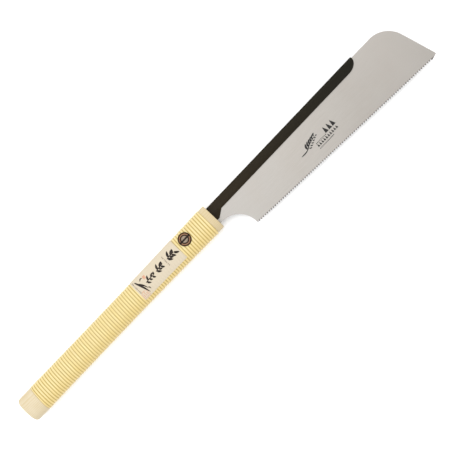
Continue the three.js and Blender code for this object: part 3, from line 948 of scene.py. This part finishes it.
def cane_peel():
    """Rattan peel: long fibres, slow changes of tone along the strip, edges darkened with painted shade for
    the valleys between turns, and a painted warmer, yellower shade towards -Y, the side away from the key
    light.
    """
    finish = Finish("rattan_peel", Specular_IOR_Level=0.45, Coat_Weight=0.15, Coat_Roughness=0.3)
    strip = finish.node("UVMap", {"uv_map": "strip"}).outputs[0]
    in_mm = finish.node("Mapping", Vector=strip, Scale=(1 / MM,) * 3).outputs[0]
    fibre = finish.noise(finish.node("Mapping", Vector=in_mm, Scale=(0.12, 7, 1)).outputs[0], 1.0, 4)
    tone = finish.noise(finish.node("Mapping", Vector=in_mm, Scale=(0.012, 0.2, 1)).outputs[0], 1.0, 2)
    across = finish.node("SeparateXYZ", Vector=in_mm).outputs[1]
    middle = finish.maths("ABSOLUTE", finish.maths("SUBTRACT", finish.span(across, 0, STRIP_WIDTH), 0.5))
    base = finish.ramp(fibre, (0.3, srgb(222, 202, 142)), (0.7, srgb(236, 219, 163)))
    base = finish.mix(finish.span(tone, 0.35, 0.7, 0.0, 0.45), base, srgb(224, 199, 124))
    # Painted shade: towards -Y, away from the key light, the colour turns warmer and yellower, as the
    # shaded side of the handle looks.
    upwards = finish.node("SeparateXYZ", Vector=finish.place()).outputs[1]
    base = finish.mix(finish.span(upwards, 0, -13, 0.0, 0.5), base, srgb(230, 200, 120))
    # Painted shade: the strip's edges turn darker and more yellow, for the shade in the valleys between one
    # turn and the next.
    base = finish.mix(finish.span(middle, 0.26, 0.5, 0.0, 0.9), base, srgb(188, 158, 66))
    finish.fill(finish.shader, {"Base Color": base})
    finish.fill(finish.shader, {"Roughness": finish.span(fibre, 0.3, 0.7, 0.32, 0.5)})
    finish.bump(fibre, 0.05, 0.6)
    return finish.material


def label_paper():
    finish = Finish("label_paper", Roughness=0.8, Specular_IOR_Level=0.2)
    where = finish.place()
    pulp = finish.noise(where, 1.6, 5)
    base = finish.ramp(pulp, (0.3, srgb(207, 194, 170)), (0.7, srgb(215, 203, 181)))
    finish.fill(finish.shader, {"Base Color": base})
    finish.bump(pulp, 0.02, 0.5)
    return finish.material


def bronze():
    """Antiqued bronze: each ring of a head has its own tone, and the slot is dark."""
    finish = Finish("antiqued_bronze", Metallic=0.8)
    where = finish.place()
    centre = (-CLAMP[0], -CLAMP[1], 0)
    axis = finish.node("Mapping", Vector=where, Location=centre, Scale=(1, 1, 0)).outputs[0]
    radius = finish.node("VectorMath", {"operation": "LENGTH"})
    finish.fill(radius, {0: axis})
    far = finish.span(radius.outputs["Value"], 0, 8)
    base = finish.ramp(
        far,
        (0.0, srgb(154, 141, 126)),
        (0.42, srgb(142, 127, 110)),
        (0.46, srgb(40, 25, 14)),
        (0.57, srgb(46, 29, 16)),
        (0.6, srgb(156, 122, 98)),
        (0.71, srgb(122, 86, 58)),
        (0.75, srgb(50, 31, 14)),
    )
    wear = finish.noise(where, 1.5, 4)
    base = finish.mix(finish.span(wear, 0.4, 0.75, 0.0, 0.5), base, srgb(74, 48, 24))
    off_middle = finish.maths("ABSOLUTE", finish.node("SeparateXYZ", Vector=axis).outputs[1])
    height = finish.node("SeparateXYZ", Vector=where).outputs[2]
    recess = finish.maths("MULTIPLY", finish.span(off_middle, 1.1, 0.9), finish.span(height, 12.2, 11.8))
    base = finish.mix(recess, base, srgb(30, 22, 16))
    finish.fill(finish.shader, {"Base Color": base})
    finish.fill(finish.shader, {"Roughness": finish.span(wear, 0.3, 0.7, 0.3, 0.5)})
    finish.bump(wear, 0.02, 0.4)
    return finish.material


def ink(name, colour, thin, roughness):
    """Ink that lies thicker and thinner on its surface."""
    finish = Finish(name, Roughness=roughness, Specular_IOR_Level=0.25)
    patch = finish.noise(finish.place(), 0.9, 5, 0.65)
    finish.fill(finish.shader, {"Base Color": finish.ramp(patch, (0.42, colour), (0.72, thin))})
    finish.bump(patch, 0.01, 0.4)
    return finish.material


# ------------------------------------------------------------------ the saw

STEEL = blade_steel()
BLACKED = blacked_steel()
PLAIN = plain_steel()
WOOD = core_wood()
CANE = cane_peel()
PAPER = label_paper()
BRONZE = bronze()
BLACK_INK = ink("black_ink", srgb(26, 16, 9), srgb(50, 36, 24), 0.6)
GREY_INK = ink("grey_ink", srgb(140, 128, 112), srgb(176, 162, 144), 0.7)
SEAL_INK = ink("seal_ink", srgb(206, 150, 122), srgb(222, 186, 160), 0.7)
BLADE_INK = ink("blade_ink", srgb(22, 20, 20), srgb(40, 38, 38), 0.5)

finish_piece(blade(), "blade_unit", ["blade"], STEEL, 3)
finish_piece(folded_back(), "blade_unit", ["back_and_tang"], BLACKED, 35)
for number in range(2):
    finish_piece(rivet(number), "blade_unit", [f"tang_rivet_{number + 1}"], PLAIN)
finish_piece(core(1), "handle", ["handle_core_screw_side"], WOOD, 40)
finish_piece(core(-1), "handle", ["handle_core_nut_side"], WOOD, 40)
finish_piece(socket(), "handle", ["tang_socket"], PLAIN)
for place, name in enumerate(CANE_LENGTHS):
    finish_piece(cane(place), "handle", [f"cane_wrap_{name}"], CANE, 50)
finish_piece(label(), "handle", ["paper_label"], PAPER, 40)
finish_piece(label_ink(), "handle", [], BLACK_INK)
finish_piece(label_fine_ink(), "handle", [], GREY_INK)
finish_piece(label_seal(), "handle", [], SEAL_INK)
finish_piece(blade_print(), "blade_unit", [], BLADE_INK)
finish_piece(cup(1, SHANK_HOLE), "handle", ["screw_cup"], BRONZE)
finish_piece(cup(-1, NUT_CUP_HOLE), "handle", ["nut_cup"], BRONZE)
finish_piece(clamp_screw(), "screw", ["clamp_screw"], BRONZE)
finish_piece(washer(), "washer", ["screw_washer"], PLAIN)
finish_piece(clamp_nut(), "handle", ["clamp_nut"], BRONZE)

# ------------------------------------------------------------------ floor, lights and camera


def floor():
    mesh = bpy.data.meshes.new("floor")
    reach = 3.0
    corners = [(-reach, -reach, 0), (reach, -reach, 0), (reach, reach, 0), (-reach, reach, 0)]
    mesh.from_pydata(corners, [], [(0, 1, 2, 3)])
    piece = bpy.data.objects.new("floor", mesh)
    bpy.context.scene.collection.objects.link(piece)
    finish = Finish("floor_paint", Roughness=0.9, Specular_IOR_Level=0.1, Base_Color=(0.98, 0.98, 0.98))
    mesh.materials.append(finish.material)


def softbox(name, place, target, size, power):
    lamp = bpy.data.lights.new(name, "AREA")
    lamp.shape = "RECTANGLE"
    lamp.size, lamp.size_y = size
    lamp.energy = power
    holder = bpy.data.objects.new(name, lamp)
    holder.location = at(place)
    towards = Vector(at(target)) - holder.location
    holder.rotation_euler = towards.to_track_quat("-Z", "Y").to_euler()
    bpy.context.scene.collection.objects.link(holder)


def studio():
    world = bpy.data.worlds.new("studio")
    bpy.context.scene.world = world
    world.use_nodes = True
    background = world.node_tree.nodes["Background"]
    background.inputs["Color"].default_value = (1, 1, 1, 1)
    background.inputs["Strength"].default_value = WORLD_STRENGTH
    softbox("key_softbox", KEY["place"], (0, 0, 0), KEY["size"], KEY["power"])
    bpy.context.scene.view_settings.view_transform = "Standard"


def camera():
    lens = bpy.data.cameras.new("camera")
    lens.sensor_width = SENSOR_WIDTH
    lens.lens = SENSOR_WIDTH * CAMERA_PLACE[2] / VIEW_WIDTH
    holder = bpy.data.objects.new("camera", lens)
    holder.location = at(CAMERA_PLACE)
    holder.rotation_euler = (0, 0, CAMERA_TURN)
    bpy.context.scene.collection.objects.link(holder)
    bpy.context.scene.camera = holder


floor()
studio()
camera()
